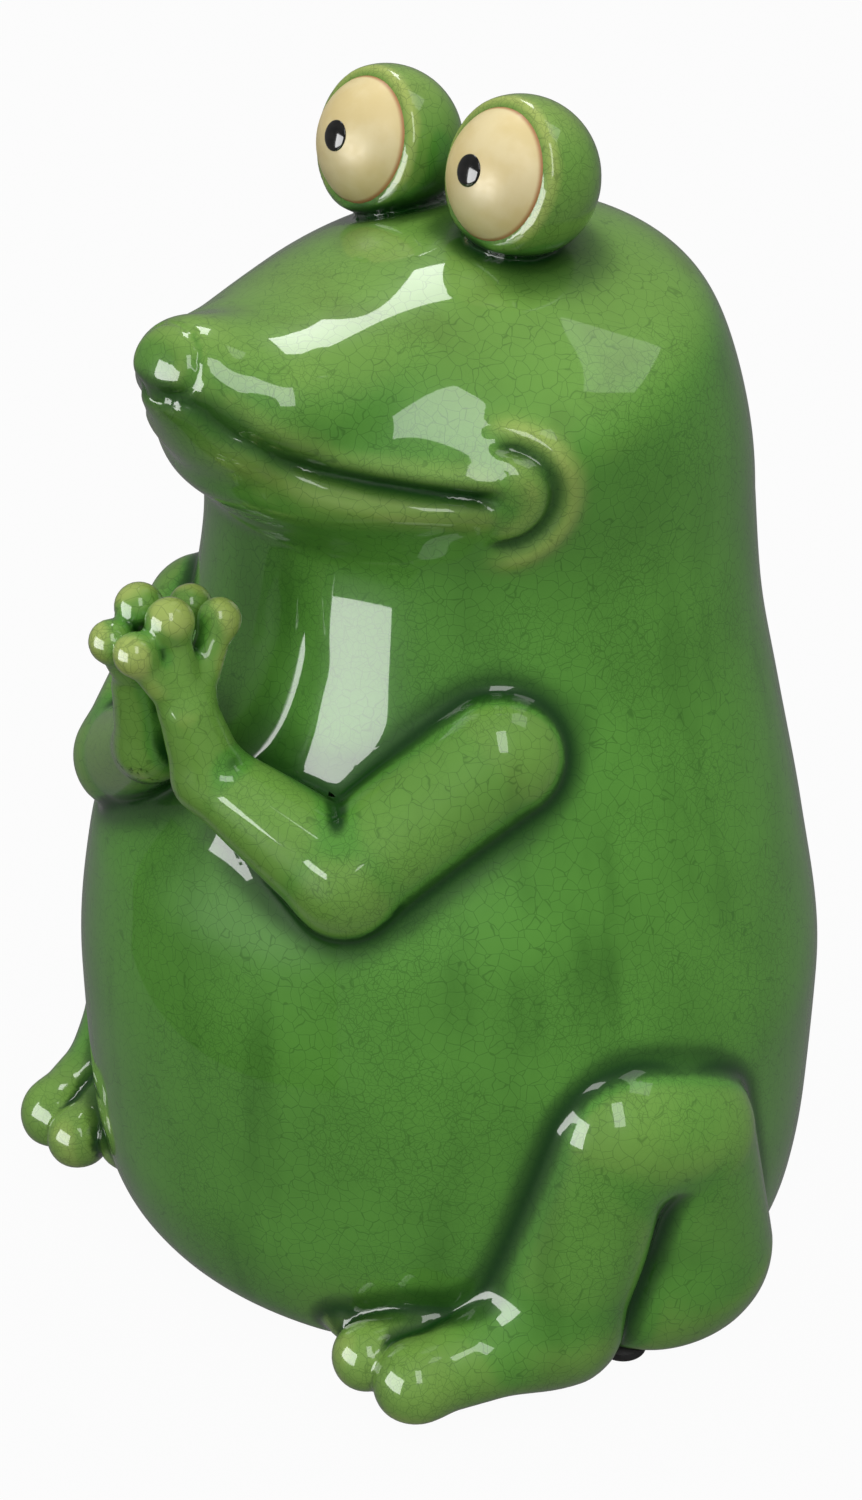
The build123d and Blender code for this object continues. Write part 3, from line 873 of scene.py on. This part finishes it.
def enamelMaterial():
    material, nodes, links, shader = newMaterial("blackEnamel")
    place = addNode(nodes, "ShaderNodeTexCoord").outputs["Object"]
    brush = mapRange(nodes, links, noiseAt(nodes, links, place, enamelFinish["brushScale"], 2.0), 0.3, 0.7)
    colour = mixColour(nodes, links, brush, enamelFinish["dark"], enamelFinish["worn"])
    links.new(colour, shader.inputs["Base Color"])
    shader.inputs["Roughness"].default_value = enamelFinish["roughness"]
    shader.inputs["Coat Weight"].default_value = enamelFinish["coat"]
    return material


rubberFinish = {
    "dark": (0.010, 0.010, 0.010), "dusty": (0.022, 0.022, 0.022), "grainScale": 1500.0,
    "roughness": (0.55, 0.8),
}


def rubberMaterial():
    material, nodes, links, shader = newMaterial("blackRubber")
    place = addNode(nodes, "ShaderNodeTexCoord").outputs["Object"]
    grain = noiseAt(nodes, links, place, rubberFinish["grainScale"], 2.0)
    dust = mapRange(nodes, links, grain, 0.3, 0.7)
    links.new(mixColour(nodes, links, dust, rubberFinish["dark"], rubberFinish["dusty"]), shader.inputs["Base Color"])
    links.new(mapRange(nodes, links, grain, 0.3, 0.7, *rubberFinish["roughness"]), shader.inputs["Roughness"])
    return material


glaze = glazeMaterial()
for piece in glazedPieces:
    piece.data.materials.append(glaze)
for eyeball, (side, sign) in zip(eyeballs, sides.items()):
    eyeball.data.materials.append(creamMaterial(side + "Cream", eyeShape["centre"] * (sign, 1, 1)))
enamel, rubber = enamelMaterial(), rubberMaterial()
for pupil in pupils:
    pupil.data.materials.append(enamel)
print("finishes done")


# Rubber pads: four of one disc with a rounded lower edge, from one Geometry Nodes tree
padShape = {"edge": 0.0005, "around": 64, "layers": 16}


def padTree():
    tree = bpy.data.node_groups.new("rubberPad", "GeometryNodeTree")
    for label in ("Radius", "Height", "Edge"):
        tree.interface.new_socket(label, in_out="INPUT", socket_type="NodeSocketFloat")
    tree.interface.new_socket("Material", in_out="INPUT", socket_type="NodeSocketMaterial")
    tree.interface.new_socket("Geometry", in_out="OUTPUT", socket_type="NodeSocketGeometry")
    nodes, links = tree.nodes, tree.links
    entry, leave = nodes.new("NodeGroupInput"), nodes.new("NodeGroupOutput")
    disc = addNode(nodes, "GeometryNodeMeshCylinder", fill_type="TRIANGLE_FAN")
    disc.inputs["Vertices"].default_value = padShape["around"]
    disc.inputs["Side Segments"].default_value = padShape["layers"]
    links.new(entry.outputs["Radius"], disc.inputs["Radius"])
    links.new(entry.outputs["Height"], disc.inputs["Depth"])
    place = addNode(nodes, "ShaderNodeSeparateXYZ")
    links.new(addNode(nodes, "GeometryNodeInputPosition").outputs[0], place.inputs[0])
    lift = combine(nodes, links, "MULTIPLY_ADD", entry.outputs["Height"], 0.5)
    links.new(place.outputs["Z"], lift.node.inputs[2])
    short = combine(nodes, links, "MAXIMUM", combine(nodes, links, "SUBTRACT", entry.outputs["Edge"], lift), 0.0)
    edgeSquare = combine(nodes, links, "MULTIPLY", entry.outputs["Edge"], entry.outputs["Edge"])
    rest = combine(nodes, links, "SUBTRACT", edgeSquare, combine(nodes, links, "MULTIPLY", short, short))
    bulge = combine(nodes, links, "SQRT", combine(nodes, links, "MAXIMUM", rest, 0.0), 0.0)
    inset = combine(nodes, links, "SUBTRACT", entry.outputs["Edge"], bulge)
    share = combine(nodes, links, "SUBTRACT", 1.0, combine(nodes, links, "DIVIDE", inset, entry.outputs["Radius"]))
    moved = addNode(nodes, "ShaderNodeCombineXYZ")
    links.new(combine(nodes, links, "MULTIPLY", place.outputs["X"], share), moved.inputs["X"])
    links.new(combine(nodes, links, "MULTIPLY", place.outputs["Y"], share), moved.inputs["Y"])
    links.new(lift, moved.inputs["Z"])
    rounded = addNode(nodes, "GeometryNodeSetPosition")
    links.new(disc.outputs["Mesh"], rounded.inputs["Geometry"])
    links.new(moved.outputs[0], rounded.inputs["Position"])
    whole = addNode(nodes, "GeometryNodeRealizeInstances")
    links.new(rounded.outputs[0], whole.inputs[0])
    coated = addNode(nodes, "GeometryNodeSetMaterial")
    links.new(whole.outputs[0], coated.inputs["Geometry"])
    links.new(entry.outputs["Material"], coated.inputs["Material"])
    links.new(coated.outputs[0], leave.inputs["Geometry"])
    return tree


padNodes = padTree()
padSockets = {item.name: item.identifier for item in padNodes.interface.items_tree}
for node in ("front_pad", "rear_pad", "left_pad", "right_pad"):
    low, high = (np.array(corner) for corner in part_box(node))
    name = node.replace("_pad", "Pad")
    draft = bpy.data.objects.new(name + "Draft", bpy.data.meshes.new(name + "Draft"))
    bpy.context.collection.objects.link(draft)
    maker = draft.modifiers.new("maker", "NODES")
    maker.node_group = padNodes
    maker[padSockets["Radius"]] = float(high[0] - low[0]) / 2
    maker[padSockets["Height"]] = float(high[2] - low[2])
    maker[padSockets["Edge"]] = padShape["edge"]
    maker[padSockets["Material"]] = rubber
    evaluated = draft.evaluated_get(bpy.context.evaluated_depsgraph_get())
    mesh = bpy.data.meshes.new_from_object(evaluated)
    bpy.data.objects.remove(draft)
    mesh.name = name
    centre = (low + high) / 2
    mesh.transform(mathutils.Matrix.Translation((centre[0], centre[1], low[2])))
    mesh.shade_smooth()
    pad = bpy.data.objects.new(name, mesh)
    bpy.context.collection.objects.link(pad)
    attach(pad, "root")
    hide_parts(node)
print("pads made")


# Stage: pale floor, soft boxes where the glaze shows them, and the photograph's camera
floorMesh = bpy.data.meshes.new("floor")
floorHalf = 6.0
floorCorners = [(x * floorHalf, y * floorHalf, 0) for x, y in ((-1, -1), (1, -1), (1, 1), (-1, 1))]
floorMesh.from_pydata(floorCorners, [], [(0, 1, 2, 3)])
floor = bpy.data.objects.new("floor", floorMesh)
bpy.context.collection.objects.link(floor)


stageShape = {"white": 0.96, "glossyTone": 0.16, "floorTone": 0.22, "horizon": 0.14, "zenith": 1.95}


def raysSeen(nodes, links):
    # white to the camera and through glass, and a dim room in the reflections of the glaze
    path = addNode(nodes, "ShaderNodeLightPath")
    seen = combine(nodes, links, "MAXIMUM", path.outputs["Is Camera Ray"], path.outputs["Is Transmission Ray"])
    return seen, path.outputs["Is Glossy Ray"]


def floorMaterial():
    material, nodes, links, shader = newMaterial("paleFloor")
    shader.inputs["Base Color"].default_value = (*[stageShape["floorTone"]] * 3, 1)
    shader.inputs["Roughness"].default_value = 0.9
    shader.inputs["Specular IOR Level"].default_value = 0.0
    seen, shine = raysSeen(nodes, links)
    surface = shader.outputs[0]
    for share, strength in ((shine, stageShape["glossyTone"]),
                            (combine(nodes, links, "MULTIPLY", seen, stageShape["white"]), 1.0)):
        glow = addNode(nodes, "ShaderNodeEmission")
        glow.inputs["Strength"].default_value = strength
        mix = addNode(nodes, "ShaderNodeMixShader")
        links.new(share, mix.inputs[0])
        links.new(surface, mix.inputs[1])
        links.new(glow.outputs[0], mix.inputs[2])
        surface = mix.outputs[0]
    links.new(surface, nodes["Material Output"].inputs["Surface"])
    return material


floorMesh.materials.append(floorMaterial())

world = bpy.data.worlds.new("studio")
bpy.context.scene.world = world
world.use_nodes = True
worldNodes, worldLinks = world.node_tree.nodes, world.node_tree.links
fill = worldNodes["Background"]
fill.inputs["Color"].default_value = (1, 1, 1, 1)
up = addNode(worldNodes, "ShaderNodeSeparateXYZ")
worldLinks.new(addNode(worldNodes, "ShaderNodeTexCoord").outputs["Generated"], up.inputs[0])
sky = mapRange(worldNodes, worldLinks, up.outputs["Z"], 0.1, 1.0, stageShape["horizon"], stageShape["zenith"])
seen, shine = raysSeen(worldNodes, worldLinks)
for share, strength in ((shine, stageShape["glossyTone"]), (seen, 1.0)):
    backdrop = addNode(worldNodes, "ShaderNodeMix")
    worldLinks.new(share, backdrop.inputs[0])
    worldLinks.new(sky, backdrop.inputs[2])
    backdrop.inputs[3].default_value = strength
    sky = backdrop.outputs[0]
worldLinks.new(sky, fill.inputs["Strength"])

# azimuth from the frog's front towards its left, height angle, distance, width, height, brightness
softBoxes = {
    "window": (-10, 6.8, 0.55, 0.49, 0.36, 9.0),
    "overhead": (-136, 63, 1.3, 0.25, 0.40, 8.0),
    "right": (58, 46, 1.3, 0.34, 0.78, 5.0),
    "rear": (140, 60, 1.3, 0.50, 0.48, 1.5),
    "key": (42, 22, 1.3, 1.20, 1.20, 1.4),
}
softFill = ("key",)  # lights the colour only; the others show as panes in the glaze
target = np.array([0.0, 0.0, 0.13])
for name, (azimuth, lift, distance, width, height, brightness) in softBoxes.items():
    a, e = math.radians(azimuth), math.radians(lift)
    away = np.array([math.sin(a) * math.cos(e), -math.cos(a) * math.cos(e), math.sin(e)])
    lamp = bpy.data.lights.new(name, "AREA")
    lamp.shape = "RECTANGLE"
    lamp.size, lamp.size_y = width, height
    lamp.energy = brightness * math.pi * width * height
    box = bpy.data.objects.new(name, lamp)
    box.location = target + away * distance
    box.rotation_euler = (math.pi / 2 - e, 0, a)
    box.visible_glossy = name not in softFill
    box.visible_diffuse = name in softFill
    bpy.context.collection.objects.link(box)

# a dark card that keeps the window's reflection off the belly, seen by nothing but the glaze
cardShape = {"left": -0.080, "right": 0.055, "bottom": 0.045, "top": 0.128, "ahead": -0.110}
cardMesh = bpy.data.meshes.new("card")
cardCorners = [(cardShape[x], cardShape["ahead"], cardShape[z])
               for x, z in (("left", "bottom"), ("right", "bottom"), ("right", "top"), ("left", "top"))]
cardMesh.from_pydata(cardCorners, [], [(0, 1, 2, 3)])
cardMaterial, _, _, cardShader = newMaterial("darkCard")
cardShader.inputs["Base Color"].default_value = (0.06, 0.08, 0.05, 1)
cardShader.inputs["Roughness"].default_value = 0.9
cardMesh.materials.append(cardMaterial)
card = bpy.data.objects.new("card", cardMesh)
card.visible_camera = card.visible_diffuse = card.visible_shadow = card.visible_transmission = False
bpy.context.collection.objects.link(card)

cameraShape = {
    "distance": 0.450, "azimuth": 47.6, "height": 0.332, "pitch": 27.0, "axisY": -0.0025,
    "focalPixels": 2441, "photoPixels": 1500,
}
camera = bpy.data.cameras.new("camera")
camera.sensor_width = 36
camera.lens = cameraShape["focalPixels"] / cameraShape["photoPixels"] * camera.sensor_width
cameraObject = bpy.data.objects.new("camera", camera)
turn = math.radians(cameraShape["azimuth"])
cameraObject.location = (cameraShape["distance"] * math.sin(turn),
                         cameraShape["axisY"] - cameraShape["distance"] * math.cos(turn), cameraShape["height"])
cameraObject.rotation_euler = (math.radians(90 - cameraShape["pitch"]), 0, turn)
bpy.context.collection.objects.link(cameraObject)
bpy.context.scene.camera = cameraObject
bpy.context.scene.view_settings.view_transform = "Standard"
